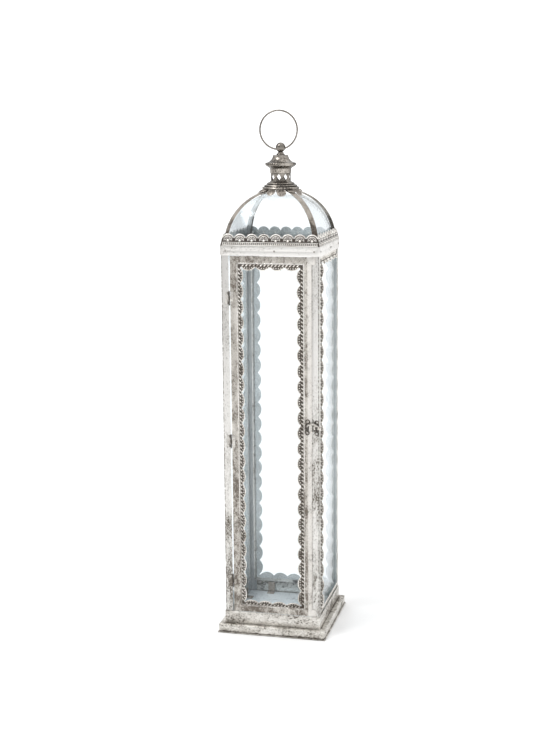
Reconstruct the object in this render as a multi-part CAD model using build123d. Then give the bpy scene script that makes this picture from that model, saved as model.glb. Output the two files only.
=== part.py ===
from build123d import *
import os
from math import cos, radians, sin, sqrt

# Square candle lantern of pressed sheet: stepped base, four angle posts, three glazed walls,
# a glazed door, a glazed dome on four straps, a pierced chimney, and a ring handle in a ball.
# Millimetres, +Z up. The origin is the centre of the base at floor level.
# The door faces -Y. It hangs on the -X side and latches on the +X side.

# Driving dimensions: base and body
SHEET = 1.0                 # gauge of the folded sheet
BODY_HALF = 80.0            # centre to the outer face of a post
POST_LEG = 12.0             # width of each leg of a corner angle
HEM_HALF = 92.0             # centre to the outer edge of the hem under the base
HEM_THICK = 1.6
BASE_HALF = 90.0
BASE_TOP = 15.0
BASE_ROUND = 1.2            # rounding of the base's upper edges
PLINTH_TOP = 36.0
PLINTH_PROUD = 1.2          # the plinth wraps the feet of the posts
BAND_LOW = 633.6
BAND_TOP = 648.8
BAND_PROUD = 1.5            # the top band wraps the heads of the posts
BAND_FLANGE = 9.5           # width of the ledge inside the top band, under the dome

# Driving dimensions: windows
TRIM_THICK = 0.8
TRIM_DEPTH = 11.2           # from the fold to the tips of the scallops
TRIM_RISE = 6.0             # height of one scallop
TRIM_FLARE = 25.0           # the lace is bent outwards by this many degrees
TRIM_FOLD = 0.5             # from the opening's edge to the fold
TRIM_COLUMN = 22            # scallops up one side
WALL_ROW = 5                # scallops along the top or the bottom of a wall
DOOR_ROW = 4
TRIM_CORNER = 1.0           # plain length at each end of a row of scallops
GLASS_THICK = 2.0
WALL_GLASS_HALF = 70.5
WALL_GLASS_LOW = 18.0
WALL_GLASS_HIGH = 632.0

# Driving dimensions: door
DOOR_THICK = 0.9
DOOR_GAP = 0.3              # air between the door's back and the posts
DOOR_LEFT = -65.5
DOOR_RIGHT = 68.2
DOOR_LOW = 36.6
DOOR_HIGH = 633.0
PANE_LEFT = -53.0           # the door's window opening
PANE_RIGHT = 55.0
PANE_LOW = 48.6
PANE_HIGH = 620.8
STOP_RIGHT = 74.5           # the rails run on over the closing post as stops
STOP_ROUND = 3.0
BEAD_R = 0.8                # half-round bead round the door's window

# Driving dimensions: hinges
HINGE_X = -67.0
HINGE_Y = -81.7
HINGE_HEIGHTS = (("upper", 564.9), ("middle", 328.6), ("lower", 89.4))
HINGE_LENGTH = 20.0
HINGE_MIDDLE = 7.0          # length of the door's knuckle
KNUCKLE_R = 1.3
KNUCKLE_GAP = 0.3
HINGE_PIN_R = 0.7
HINGE_BORE_R = 0.75
LEAF_THICK = 0.8
LEAF_WIDE = 5.4

# Driving dimensions: latch
LATCH_Z = 357.5
LATCH_PIVOT_X = 59.5
KEEPER_PIN_X = 76.0
KEEPER_PIN_R = 1.6
KEEPER_PIN_LONG = 5.7
HOOK_THICK = 2.0
HOOK_OFF_PLATE = 0.4
HOOK_CLEAR = 0.3
PIVOT_R = 1.2
PIVOT_BORE_R = 1.25
LATCH_PLATE_THICK = 0.8

# Driving dimensions: crest, dome and chimney
CREST_TALL = 19.5
CREST_RISE = 5.0
CREST_COUNT = 8
CREST_LEAN = 12.5           # the crest leans in over the foot of the dome by this many degrees
CREST_END = 78.5            # half the length of the row of scallops
STRAP_HALF = 74.0           # centre to a strap's outer face at the band, along X or Y
STRAP_TALL = 87.0
STRAP_WIDE = 10.0
STRAP_THICK = 1.2
STRAP_END_R = 22.0          # radius where the straps end, under the crown ring
DOME_HALF = 73.0            # outer face of the dome's glass at the band
DOME_TALL = 83.0
DOME_TOP_HALF = 22.0        # half the opening at the top of the glass
CROWN_LOW = 734.2
CROWN_THICK = 1.2
CROWN_R = 30.0
COLLAR_R = 34.0
COLLAR_DROP = 9.0
NECK_R = 16.5
NECK_WALL = 1.2
NECK_TOP = 763.5
LOZENGE_COUNT = 9
LOZENGE_WIDE = 8.4
LOZENGE_TALL = 12.6
LOZENGE_Z = 754.4
CAP_TOP = 789.7
CAP_FLAT_R = 12.5
CAP_RIM_R = 25.4

# Driving dimensions: knob and ring handle
BALL_R = 8.0
BALL_Z = 802.0
BALL_FLAT_Z = 794.6
SCREW_R = 1.9
SCREW_TOP = 796.6
RING_R = 31.0               # centre of the wire to the centre of the ring
RING_WIRE_R = 1.5
RING_LEAN = 6.0             # the cross hole is drilled this many degrees off level
RING_HOLE_R = 2.4
RING_HOLE_Z = 799.6

WALL_TURNS = (("right", 90), ("back", 180), ("left", 270))
CORNERS = (("front_left", 0), ("front_right", 90), ("back_right", 180), ("back_left", 270))


def block(x0, x1, y0, y1, z0, z1):
    """A box between two corners."""
    centre = ((x0 + x1) / 2, (y0 + y1) / 2, (z0 + z1) / 2)
    return Pos(*centre) * Box(x1 - x0, y1 - y0, z1 - z0)


def square_ring(outer_half, inner_half, low, high):
    """A square ring, upright walls."""
    outer = block(-outer_half, outer_half, -outer_half, outer_half, low, high)
    return outer - block(-inner_half, inner_half, -inner_half, inner_half, low - 1, high + 1)


def plate(outline, back_y, thick):
    """A flat plate of an X-Z outline, whose back is at back_y and which grows towards -Y."""
    return Pos(0, back_y, 0) * extrude(Plane.XZ * outline, thick)


def rectangle(x0, x1, z0, z1):
    return Pos((x0 + x1) / 2, (z0 + z1) / 2) * Rectangle(x1 - x0, z1 - z0)


def disc(x, z, radius):
    return Pos(x, z) * Circle(radius)


def rod_y(x, z, radius, back_y, front_y):
    """A round bar along Y."""
    return plate(disc(x, z, radius), back_y, back_y - front_y)


def rod_z(x, y, radius, low, high):
    return Pos(x, y, (low + high) / 2) * Cylinder(radius, high - low)


def turned(*edges):
    """A solid of revolution about Z from the edges of a closed half section (radius, height)."""
    return revolve(Plane.XZ * make_face(edges), Axis.Z, 360)


def turned_points(*points):
    return turned(*Polyline(*points, close=True).edges())


def around(solid, angle):
    return Rot(0, 0, angle) * solid


def scallops(start, end, count, rise):
    """Arcs from start to end that bulge to the left of the way they run."""
    step = (Vector(*end) - Vector(*start)) * (1 / count)
    bulge = Vector(-step.Y, step.X).normalized() * rise
    first = Vector(*start)
    return [ThreePointArc(first + step * i, first + step * (i + 0.5) + bulge, first + step * (i + 1))
            for i in range(count)]


def lace_strip(length, count):
    """Outline of one side of a lace frame: the fold is on the X axis, and the scallops' tips are at +Y."""
    root = TRIM_DEPTH - TRIM_RISE
    inset = root * cos(radians(TRIM_FLARE)) + TRIM_CORNER
    arcs = scallops((inset, root), (length - inset, root), count, TRIM_RISE)
    ends = Polyline((length - inset, root), (length + root, root), (length + root, 0), (-root, 0),
                    (-root, root), (inset, root))
    return make_face([*arcs, *ends.edges()])


def lace_frame(x0, x1, z0, z1, margins, row, back_y):
    """A flat margin round an opening, and four lace sides bent outwards and mitred at the corners."""
    side_margin, end_margin = margins
    outer = rectangle(x0 - side_margin, x1 + side_margin, z0 - end_margin, z1 + end_margin)
    x0, x1, z0, z1 = x0 + TRIM_FOLD, x1 - TRIM_FOLD, z0 + TRIM_FOLD, z1 - TRIM_FOLD
    frame = plate(outer - rectangle(x0, x1, z0, z1), back_y, TRIM_THICK)
    corners = [(x0, z0), (x1, z0), (x1, z1), (x0, z1)]
    reach = (x1 - x0) / 2
    ridge = [(x0 + reach, z0 + reach), (x0 + reach, z1 - reach)]
    wedges = [(ridge[0],), (ridge[1], ridge[0]), (ridge[1],), (ridge[0], ridge[1])]
    for i, wedge in enumerate(wedges):
        start = corners[i]
        end = corners[(i + 1) % 4]
        upright = i % 2
        length = (z1 - z0) if upright else (x1 - x0)
        strip = extrude(lace_strip(length, TRIM_COLUMN if upright else row), TRIM_THICK)
        strip = Rot(90, 0, 0) * Rot(TRIM_FLARE, 0, 0) * strip
        strip = Pos(start[0], back_y, start[1]) * Rot(0, -90 * i, 0) * strip
        area = make_face(Polyline(start, end, *wedge, close=True).edges())
        frame += strip & plate(area, back_y + 5, 20)
    return frame


# Base, posts and bands

def base_hem():
    return square_ring(HEM_HALF, BASE_HALF - 4, 0, HEM_THICK)


def base_pan():
    """An upturned tray, open underneath."""
    pan = block(-BASE_HALF, BASE_HALF, -BASE_HALF, BASE_HALF, HEM_THICK, BASE_TOP)
    pan = fillet(pan.faces().sort_by(Axis.Z)[-1].edges(), BASE_ROUND)
    inner = BASE_HALF - SHEET
    return pan - block(-inner, inner, -inner, inner, 0, BASE_TOP - SHEET)


def floor_plate():
    half = BODY_HALF - SHEET - 0.6
    return block(-half, half, -half, half, BASE_TOP, BASE_TOP + SHEET)


def plinth_band():
    return square_ring(BODY_HALF + PLINTH_PROUD, BODY_HALF, BASE_TOP, PLINTH_TOP)


def corner_post():
    """The front left angle. The other three are turned copies."""
    near = -BODY_HALF
    high = BAND_TOP - SHEET
    angle = block(near, near + POST_LEG, near, near + POST_LEG, BASE_TOP, high)
    angle -= block(near + SHEET, 0, near + SHEET, 0, BASE_TOP - 1, high + 1)
    return angle


def top_band():
    """The band, with a ledge turned inwards along its top."""
    wall = square_ring(BODY_HALF + BAND_PROUD, BODY_HALF, BAND_LOW, BAND_TOP)
    ledge = square_ring(BODY_HALF + 0.5, BODY_HALF - BAND_FLANGE, BAND_TOP - SHEET, BAND_TOP)
    return wall + ledge


RIVET_Z = 641.2
RIVET_XS = (-72.6, 8.0, 72.6)
RIVET_SHANK_R = 0.8
RIVET_HEAD_R = 1.5
RIVET_HEAD_TALL = 0.7
RIVET_BUCK = 0.5            # thickness of the flattened inner end


def rivet_grip(x):
    """Inner face that a rivet closes on: a post's leg, or the band alone."""
    on_post = abs(x) > BODY_HALF - POST_LEG
    return -BODY_HALF + (SHEET if on_post else 0)


def rivet_shank(x):
    return rod_y(x, RIVET_Z, RIVET_SHANK_R, rivet_grip(x), -BODY_HALF - BAND_PROUD)


def rivet(x):
    grip = rivet_grip(x)
    face = -BODY_HALF - BAND_PROUD
    head = rod_y(x, RIVET_Z, RIVET_HEAD_R, face, face - RIVET_HEAD_TALL)
    head = fillet(head.edges().group_by(Axis.Y)[0], 0.5)
    inner = rod_y(x, RIVET_Z, RIVET_HEAD_R, grip + RIVET_BUCK, grip)
    return head + rivet_shank(x) + inner


def all_sides(make):
    """Front, right, back and left copies of each rivet or shank along the band."""
    return [around(make(x), turn) for turn in (0, 90, 180, 270) for x in RIVET_XS]


# Walls

def wall_trim():
    """Lace frame behind the legs of two posts, front wall position."""
    inner = BODY_HALF - POST_LEG
    back_y = -BODY_HALF + SHEET + TRIM_THICK
    return lace_frame(-inner, inner, PLINTH_TOP + 4.0, BAND_LOW - 4.0, (3.0, 6.0), WALL_ROW, back_y)


def wall_glass():
    half = WALL_GLASS_HALF
    near = -BODY_HALF + SHEET + TRIM_THICK
    return block(-half, half, near, near + GLASS_THICK, WALL_GLASS_LOW, WALL_GLASS_HIGH)


TAB_X = 40.0
TAB_WIDE = 12.0
TAB_TALL = 18.0
TAB_FOOT = 11.0


def wall_tab(x):
    """A strip bent up from the floor to hold the foot of a pane."""
    near = -BODY_HALF + SHEET + TRIM_THICK + GLASS_THICK
    low = BASE_TOP + SHEET
    x0 = x - TAB_WIDE / 2
    x1 = x + TAB_WIDE / 2
    upright = block(x0, x1, near, near + SHEET, low, low + TAB_TALL)
    return upright + block(x0, x1, near, near + TAB_FOOT, low, low + SHEET)


# Crest and dome

def front_wedge(reach, low, high):
    """Everything nearer to the front wall than to the others, between two heights."""
    wedge = make_face(Polyline((0, 0), (reach, -reach), (-reach, -reach), close=True).edges())
    return Pos(0, 0, low) * extrude(wedge, high - low)


def crest_strip():
    """A scalloped strip standing on the front of the top band, leaning in and mitred at the corners."""
    half = BODY_HALF + BAND_PROUD
    end = CREST_END
    shoulder = CREST_TALL - CREST_RISE
    arcs = scallops((end, shoulder), (-end, shoulder), CREST_COUNT, -CREST_RISE)
    sides = Polyline((-end, shoulder), (-half, shoulder), (-half, -2), (half, -2), (half, shoulder),
                     (end, shoulder))
    strip = plate(make_face([*sides.edges(), *arcs]), SHEET, SHEET)
    strip = Pos(0, -half, BAND_TOP) * Rot(-CREST_LEAN, 0, 0) * strip
    return strip & front_wedge(half + 5, BAND_TOP, BAND_TOP + 2 * CREST_TALL)


def arch(radius, tall, thick, end_radius):
    """Half section of an arch in (radius, height): an elliptical strip that stops short of the crown."""
    width = 2 * radius
    outer = Pos(0, BAND_TOP) * Ellipse(radius, tall)
    inner = Pos(0, BAND_TOP) * Ellipse(radius - thick, tall - thick)
    keep = rectangle(end_radius, width, BAND_TOP, BAND_TOP + 2 * tall)
    return (outer - inner) & keep


def dome_strap():
    """A flat strap on the front left diagonal, from the band to the crown."""
    section = arch(STRAP_HALF * sqrt(2), STRAP_TALL, STRAP_THICK, STRAP_END_R)
    strap = extrude(Plane.XZ * section, STRAP_WIDE / 2, both=True)
    return around(strap, 225)


def dome_pane():
    """The front quarter of the glass: an arched sheet between two diagonals."""
    section = arch(DOME_HALF, DOME_TALL, GLASS_THICK, DOME_TOP_HALF)
    sheet = around(extrude(Plane.XZ * section, DOME_HALF, both=True), 270)
    return sheet & front_wedge(DOME_HALF + 5, BAND_TOP, BAND_TOP + DOME_TALL + 5)


# Chimney

def crown_ring():
    return rod_z(0, 0, CROWN_R, CROWN_LOW, CROWN_LOW + CROWN_THICK) - Cylinder(NECK_R - 1, 2000)


def leaf_collar():
    """A skirt over the ends of the straps, slotted where they pass."""
    low = CROWN_LOW + CROWN_THICK
    high = low + TRIM_THICK
    skirt = turned_points((NECK_R, low), (CROWN_R, low), (CROWN_R + 1.0, low - 1.5),
                          (COLLAR_R - 1.0, low - COLLAR_DROP), (COLLAR_R, low - COLLAR_DROP),
                          (CROWN_R + 1.2, high), (NECK_R, high))
    for _, turn in CORNERS:
        slot = block(CROWN_R - 1, COLLAR_R + 5, -STRAP_WIDE / 2 - 0.6, STRAP_WIDE / 2 + 0.6, low - 20, low - 0.4)
        skirt -= around(slot, turn + 45)
    return skirt


NECK_STEPS = ((28.6, 0.0), (30.2, 0.0), (30.6, 1.4), (29.6, 2.6), (26.6, 3.4), (27.4, 4.6), (26.4, 5.8),
              (22.4, 6.8), (23.0, 8.0), (22.0, 9.2), (18.2, 10.8))
NECK_HOLLOW = ((15.3, 11.4), (20.4, 6.0), (25.2, 2.6), (28.0, 1.0))


def chimney_neck():
    """Moulded foot and a pierced tube."""
    foot = CROWN_LOW + CROWN_THICK + TRIM_THICK
    outer = [(radius, foot + up) for radius, up in NECK_STEPS]
    inner = [(radius, foot + up) for radius, up in NECK_HOLLOW]
    tube = [(NECK_R, foot + 12.4), (NECK_R, NECK_TOP), (NECK_R - NECK_WALL, NECK_TOP)]
    neck = turned_points(*outer, *tube, *inner)
    half_wide = LOZENGE_WIDE / 2
    half_tall = LOZENGE_TALL / 2
    corners = [(0, -half_tall), (half_wide, 0), (0, half_tall), (-half_wide, 0)]
    lozenge = plate(Pos(0, LOZENGE_Z) * make_face(Polyline(*corners, close=True).edges()), -NECK_R + 5, 10)
    for i in range(LOZENGE_COUNT):
        neck -= around(lozenge, i * 360 / LOZENGE_COUNT)
    return neck


def chimney_cap():
    """A bell over the tube: flat top, hollow flare and rolled rim, with a sleeve below."""
    sleeve_low = NECK_TOP - 2.6
    rim = CAP_RIM_R
    outer = [
        Line((SCREW_R, CAP_TOP), (CAP_FLAT_R, CAP_TOP)),
        ThreePointArc((CAP_FLAT_R, CAP_TOP), (16.0, 781.8), (rim - 1.0, 777.6)),
        ThreePointArc((rim - 1.0, 777.6), (rim, 775.2), (rim - 1.4, 772.6)),
        Line((rim - 1.4, 772.6), (NECK_R + 1.0, 768.5)),
        Line((NECK_R + 1.0, 768.5), (NECK_R + 1.0, sleeve_low)),
        Line((NECK_R + 1.0, sleeve_low), (NECK_R, sleeve_low)),
    ]
    inner = [
        Line((NECK_R, sleeve_low), (NECK_R, 769.2)),
        Line((NECK_R, 769.2), (rim - 2.4, 773.8)),
        Line((rim - 2.4, 773.8), (rim - 2.2, 776.6)),
        ThreePointArc((rim - 2.2, 776.6), (15.0, 781.0), (CAP_FLAT_R - 1.1, CAP_TOP - 1.0)),
        Line((CAP_FLAT_R - 1.1, CAP_TOP - 1.0), (SCREW_R, CAP_TOP - 1.0)),
        Line((SCREW_R, CAP_TOP - 1.0), (SCREW_R, CAP_TOP)),
    ]
    return turned(*outer, *inner)


# Knob and ring handle

def knob_collar():
    return turned_points((SCREW_R, CAP_TOP), (6.6, CAP_TOP), (7.0, CAP_TOP + 1.2), (5.2, CAP_TOP + 2.8),
                         (5.0, BALL_FLAT_Z), (SCREW_R, BALL_FLAT_Z))


def knob_screw():
    head_top = CAP_TOP - SHEET
    return rod_z(0, 0, SCREW_R, head_top, SCREW_TOP) + rod_z(0, 0, 3.8, head_top - 2.2, head_top)


def ring_place(shape):
    """Lean a shape with the cross hole, about the hole's middle."""
    return Pos(0, 0, RING_HOLE_Z) * Rot(0, -RING_LEAN, 0) * shape


def ball_knob():
    ball = Pos(0, 0, BALL_Z) * Sphere(BALL_R)
    ball -= block(-20, 20, -20, 20, BALL_FLAT_Z - 20, BALL_FLAT_Z)
    ball -= rod_z(0, 0, SCREW_R, BALL_FLAT_Z - 1, SCREW_TOP)
    return ball - ring_place(Rot(0, 90, 0) * Cylinder(RING_HOLE_R, 4 * BALL_R))


def ring_handle():
    """The wire bows through the hole, so the ring is centred half that bow higher."""
    bow = RING_R - sqrt(RING_R ** 2 - BALL_R ** 2)
    rise = RING_R - bow / 2
    return ring_place(Pos(0, 0, rise) * Rot(90, 0, 0) * Torus(RING_R, RING_WIRE_R))


# Hinges

def hinge_spans(centre):
    """Heights of the two post knuckles and of the door knuckle between them."""
    half = HINGE_LENGTH / 2
    inner = HINGE_MIDDLE / 2
    post = ((centre - half, centre - inner - KNUCKLE_GAP), (centre + inner + KNUCKLE_GAP, centre + half))
    return post, (centre - inner, centre + inner)


def knuckle(low, high):
    return rod_z(HINGE_X, HINGE_Y, KNUCKLE_R, low, high)


def hinge_bore(centre):
    return rod_z(HINGE_X, HINGE_Y, HINGE_BORE_R, centre - HINGE_LENGTH, centre + HINGE_LENGTH)


def hinge_post_leaf(centre):
    """The leaf on the post, with the outer two knuckles."""
    post, _ = hinge_spans(centre)
    back = -BODY_HALF
    clear = HINGE_X - KNUCKLE_R - KNUCKLE_GAP
    leaf = plate(rectangle(clear - LEAF_WIDE, clear, post[0][0], post[1][1]), back, LEAF_THICK)
    for low, high in post:
        leaf += plate(rectangle(clear - 0.5, HINGE_X, low, high), back, LEAF_THICK) + knuckle(low, high)
    return leaf - hinge_bore(centre)


def hinge_door_leaf(centre):
    """The leaf on the door, with the middle knuckle."""
    _, (low, high) = hinge_spans(centre)
    back = -BODY_HALF - DOOR_GAP - DOOR_THICK
    clear = HINGE_X + KNUCKLE_R + 0.5
    half = HINGE_LENGTH / 2
    leaf = plate(rectangle(clear, clear + LEAF_WIDE, centre - half, centre + half), back, LEAF_THICK)
    leaf += plate(rectangle(HINGE_X, clear + 0.5, low, high), back, LEAF_THICK) + knuckle(low, high)
    return leaf - hinge_bore(centre)


def hinge_pin(centre):
    half = HINGE_LENGTH / 2
    ends = [Pos(HINGE_X, HINGE_Y, centre + side * (half + 0.9)) * Sphere(1.15) for side in (-1, 1)]
    pin = rod_z(HINGE_X, HINGE_Y, HINGE_PIN_R, centre - half - 1, centre + half + 1)
    end_gap = block(-100, 0, -100, 0, centre - half, centre + half)
    return pin + (ends[0] - end_gap) + (ends[1] - end_gap)


# Door

DOOR_BACK = -BODY_HALF - DOOR_GAP
DOOR_FRONT = DOOR_BACK - DOOR_THICK


def rail_stop(low, high):
    """The end of a rail that laps over the closing post, with rounded free corners."""
    stop = rectangle(DOOR_RIGHT - 1, STOP_RIGHT, low, high)
    return fillet(stop.vertices().group_by(Axis.X)[-1], STOP_ROUND)


def door_frame():
    outline = rectangle(DOOR_LEFT, DOOR_RIGHT, DOOR_LOW, DOOR_HIGH)
    outline += rail_stop(DOOR_LOW, PANE_LOW) + rail_stop(PANE_HIGH, DOOR_HIGH)
    outline -= rectangle(PANE_LEFT, PANE_RIGHT, PANE_LOW, PANE_HIGH)
    return plate(outline, DOOR_BACK, DOOR_THICK)


def door_bead():
    """A bead soldered round the window, on the front."""
    wide = 2 * BEAD_R
    outer = rectangle(PANE_LEFT - wide, PANE_RIGHT + wide, PANE_LOW - wide, PANE_HIGH + wide)
    bead = plate(outer - rectangle(PANE_LEFT, PANE_RIGHT, PANE_LOW, PANE_HIGH), DOOR_FRONT, BEAD_R)
    return fillet(bead.faces().sort_by(Axis.Y)[0].edges(), BEAD_R * 0.6)


def door_trim():
    """Lace frame soldered to the back of the door frame."""
    return lace_frame(PANE_LEFT, PANE_RIGHT, PANE_LOW, PANE_HIGH, (3.0, 3.0), DOOR_ROW, DOOR_BACK + TRIM_THICK)


DOOR_GLASS_LAP = 5.0


def door_glass():
    near = DOOR_BACK + TRIM_THICK
    lap = DOOR_GLASS_LAP
    return block(PANE_LEFT - lap, PANE_RIGHT + lap, near, near + GLASS_THICK, PANE_LOW - lap, PANE_HIGH + lap)


def door_tab(side, z):
    """A clip from the back of a stile over the edge of the door's glass. side is -1 or 1."""
    edge = PANE_LEFT - DOOR_GLASS_LAP if side < 0 else PANE_RIGHT + DOOR_GLASS_LAP
    glass_back = DOOR_BACK + TRIM_THICK + GLASS_THICK
    foot_end = edge + side * 4.0
    step = edge + side * 1.0
    tip = edge - side * 4.5
    half = 4.0

    def strip(xa, xb, y0, y1):
        return block(min(xa, xb), max(xa, xb), y0, y1, z - half, z + half)

    foot = strip(edge, foot_end, DOOR_BACK, DOOR_BACK + TRIM_THICK)
    riser = strip(edge, step, DOOR_BACK, glass_back + TRIM_THICK)
    return foot + riser + strip(step, tip, glass_back, glass_back + TRIM_THICK)


# Latch

def latch_plate():
    """The plate under the hook, on the door's closing stile."""
    outline = rectangle(57.0, 63.4, LATCH_Z - 7, LATCH_Z + 7)
    outline += disc(61.2, LATCH_Z + 9.4, 4.4) + disc(60.8, LATCH_Z - 8.6, 4.0)
    outline -= disc(61.2, LATCH_Z + 9.8, 1.9) + disc(60.8, LATCH_Z - 9.0, 1.7)
    return plate(outline, DOOR_FRONT, LATCH_PLATE_THICK)


def latch_pivot():
    """A shouldered rivet that the hook turns on."""
    back = DOOR_FRONT - LATCH_PLATE_THICK
    shoulder = back - HOOK_OFF_PLATE - HOOK_THICK - HOOK_CLEAR
    head = rod_y(LATCH_PIVOT_X, LATCH_Z, 2.3, shoulder, shoulder - 1.1)
    return rod_y(LATCH_PIVOT_X, LATCH_Z, PIVOT_R, back, shoulder) + head


def hook_outline():
    """An arched arm from the pivot to a notch over the keeper's pin, with a thumb stem and a knob."""
    pivot = LATCH_PIVOT_X
    pin = KEEPER_PIN_X
    base = LATCH_Z
    upper = ThreePointArc((pivot, base + 2.6), (68.0, base + 8.2), (pin + 1.0, base + 5.2))
    lower = ThreePointArc((pin + 1.0, base + 1.0), (68.0, base + 5.2), (pivot, base - 2.6))
    ends = [Line((pin + 1.0, base + 5.2), (pin + 1.0, base + 1.0)), Line((pivot, base - 2.6), (pivot, base + 2.6))]
    outline = make_face([upper, lower, *ends]) + disc(pivot, base, 2.6)
    outline += rectangle(66.8, 69.2, base - 6.6, base + 6.4) + disc(68.0, base - 6.6, 1.7)
    notch = KEEPER_PIN_R + HOOK_CLEAR
    outline += disc(pin, base + 0.8, notch + 2.4) + rectangle(pin - notch - 1.8, pin + notch + 1.8, base - 2.6, base)
    outline -= disc(pin, base, notch) + rectangle(pin - notch, pin + notch, base - 6, base)
    outline += disc(pin + notch + 3.6, base + 0.6, 2.5)
    return outline - disc(pivot, base, PIVOT_BORE_R)


def latch_hook():
    return plate(hook_outline(), DOOR_FRONT - LATCH_PLATE_THICK - HOOK_OFF_PLATE, HOOK_THICK)


def keeper_plate():
    """The plate behind the keeper's pin, on the closing post."""
    outline = rectangle(71.0, 79.4, LATCH_Z - 6.5, LATCH_Z + 8)
    outline += disc(76.0, LATCH_Z + 8.4, 3.9) + disc(76.0, LATCH_Z - 9.6, 3.6)
    outline += rectangle(74.6, 77.4, LATCH_Z - 8, LATCH_Z)
    outline -= disc(76.6, LATCH_Z + 8.9, 1.3) + disc(76.0, LATCH_Z - 10.0, 1.9)
    return plate(outline, -BODY_HALF, LATCH_PLATE_THICK)


def keeper_pin():
    """A plain round peg with no head, so the hook can leave it along Y or upwards."""
    back = -BODY_HALF - LATCH_PLATE_THICK
    return rod_y(KEEPER_PIN_X, LATCH_Z, KEEPER_PIN_R, back, back - KEEPER_PIN_LONG)


def build():
    """Every node of the lantern, by name."""
    nodes = {
        "base_hem": base_hem(),
        "base_pan": base_pan(),
        "floor_plate": floor_plate(),
        "plinth_band": plinth_band(),
    }
    shanks = all_sides(rivet_shank)
    band = top_band()
    for shank in shanks:
        band -= shank
    nodes["top_band"] = band
    post = corner_post()
    for name, turn in CORNERS:
        placed = around(post, turn)
        for shank in shanks:
            placed -= shank
        nodes["post_" + name] = placed
        nodes["dome_strap_" + name] = around(dome_strap(), turn)
    nodes["band_rivets"] = Compound(all_sides(rivet))

    tabs = []
    for name, turn in WALL_TURNS:
        nodes["trim_" + name] = around(wall_trim(), turn)
        nodes["glass_" + name] = around(wall_glass(), turn)
        tabs += [around(wall_tab(x), turn) for x in (-TAB_X, TAB_X)]
    nodes["wall_glass_tabs"] = Compound(tabs)

    for name, turn in (("front", 0), *WALL_TURNS):
        nodes["crest_" + name] = around(crest_strip(), turn)
        nodes["dome_glass_" + name] = around(dome_pane(), turn)

    nodes["crown_ring"] = crown_ring()
    nodes["leaf_collar"] = leaf_collar()
    nodes["chimney_neck"] = chimney_neck()
    nodes["chimney_cap"] = chimney_cap()
    nodes["knob_collar"] = knob_collar()
    nodes["knob_screw"] = knob_screw()
    nodes["ball_knob"] = ball_knob()
    nodes["ring_handle"] = ring_handle()

    for name, centre in HINGE_HEIGHTS:
        nodes["hinge_post_leaf_" + name] = hinge_post_leaf(centre)
        nodes["hinge_door_leaf_" + name] = hinge_door_leaf(centre)
    nodes["hinge_pins"] = Compound([hinge_pin(centre) for _, centre in HINGE_HEIGHTS])

    nodes["door_frame"] = door_frame()
    nodes["door_bead"] = door_bead()
    nodes["door_trim"] = door_trim()
    nodes["door_glass"] = door_glass()
    tab_heights = (PANE_LOW + 60, PANE_HIGH - 60)
    nodes["door_glass_tabs"] = Compound([door_tab(side, z) for side in (-1, 1) for z in tab_heights])

    nodes["latch_plate"] = latch_plate()
    nodes["latch_pivot"] = latch_pivot()
    nodes["latch_hook"] = latch_hook()
    nodes["keeper_plate"] = keeper_plate()
    nodes["keeper_pin"] = keeper_pin()
    return nodes


def main():
    os.makedirs("parts", exist_ok=True)
    for name, shape in build().items():
        export_step(shape, "parts/" + name + ".step")
    lean = radians(RING_LEAN)
    print("ring axis", cos(lean), 0, sin(lean), "at height", RING_HOLE_Z)


main()
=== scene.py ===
from math import asin, cos, pi, radians, sin

import bmesh
import bpy
from mathutils import Matrix, Vector


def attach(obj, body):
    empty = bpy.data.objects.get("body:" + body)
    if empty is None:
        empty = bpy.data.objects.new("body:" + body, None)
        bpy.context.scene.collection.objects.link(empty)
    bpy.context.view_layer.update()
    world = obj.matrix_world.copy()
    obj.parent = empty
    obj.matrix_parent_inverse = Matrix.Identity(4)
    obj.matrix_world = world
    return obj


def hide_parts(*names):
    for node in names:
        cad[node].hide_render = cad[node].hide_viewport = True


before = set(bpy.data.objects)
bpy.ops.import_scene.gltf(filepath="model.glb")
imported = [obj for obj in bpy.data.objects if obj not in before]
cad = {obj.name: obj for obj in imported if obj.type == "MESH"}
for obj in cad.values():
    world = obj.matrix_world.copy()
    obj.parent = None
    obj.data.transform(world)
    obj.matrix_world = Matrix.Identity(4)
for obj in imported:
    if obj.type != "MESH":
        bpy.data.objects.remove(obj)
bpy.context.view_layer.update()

MM = 0.001
SIDES = (("front", 0), ("right", 90), ("back", 180), ("left", 270))

# The main sizes, in millimetres and degrees, as the lantern's frame has them.
# A window is its left, right, foot and head.
BODY = 80.0             # half the width of the body
SHEET = 1.0
BAND_TOP = 648.8
BAND_PROUD = 1.5
DOOR_BACK = -80.3
DOOR_WINDOW = (-53.0, 55.0, 48.6, 620.8)
DOOR_LAP = 61.5         # from here to the right the door laps over the post
WALL_WINDOW = (-68.0, 68.0, 40.0, 629.6)
HINGE_LINE = -67.0
KNUCKLE = 1.6           # half the width of a hinge's knuckles

LACE_THICK = 0.8        # fold of the lace against its frame
LACE_SHEET = 0.34       # ground of the lace
LACE_GROUND = 0.30      # foot of its raised work, a little inside the ground
LACE_DEPTH = 11.2
LACE_RISE = 6.0         # height of a scallop, the outer part of the depth
LACE_ROOT = LACE_DEPTH - LACE_RISE
LACE_FLARE = 25.0
LACE_FOLD = 0.5
LACE_COLUMN = 22        # scallops up a side
LACE_WALL_ROW = 5       # scallops along the foot and head of a wall's window
LACE_DOOR_ROW = 4

CREST_SHEET = 0.42
CREST_GROUND = 0.36
CREST_TALL = 19.5
CREST_RISE = 7.0
CREST_ROOT = CREST_TALL - CREST_RISE
CREST_COUNT = 8
CREST_LEAN = 12.5
CREST_END = 78.5

COLLAR_LOW = 735.4
COLLAR_LEAVES = 12
LEAF_ROOT = 28.0        # where the collar's leaves begin, from the middle


# Finishes

OFF_THE_GRID = (0.6, 0.45, 0.8)     # turns noise so that no flat sheet lies along its lattice


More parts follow.
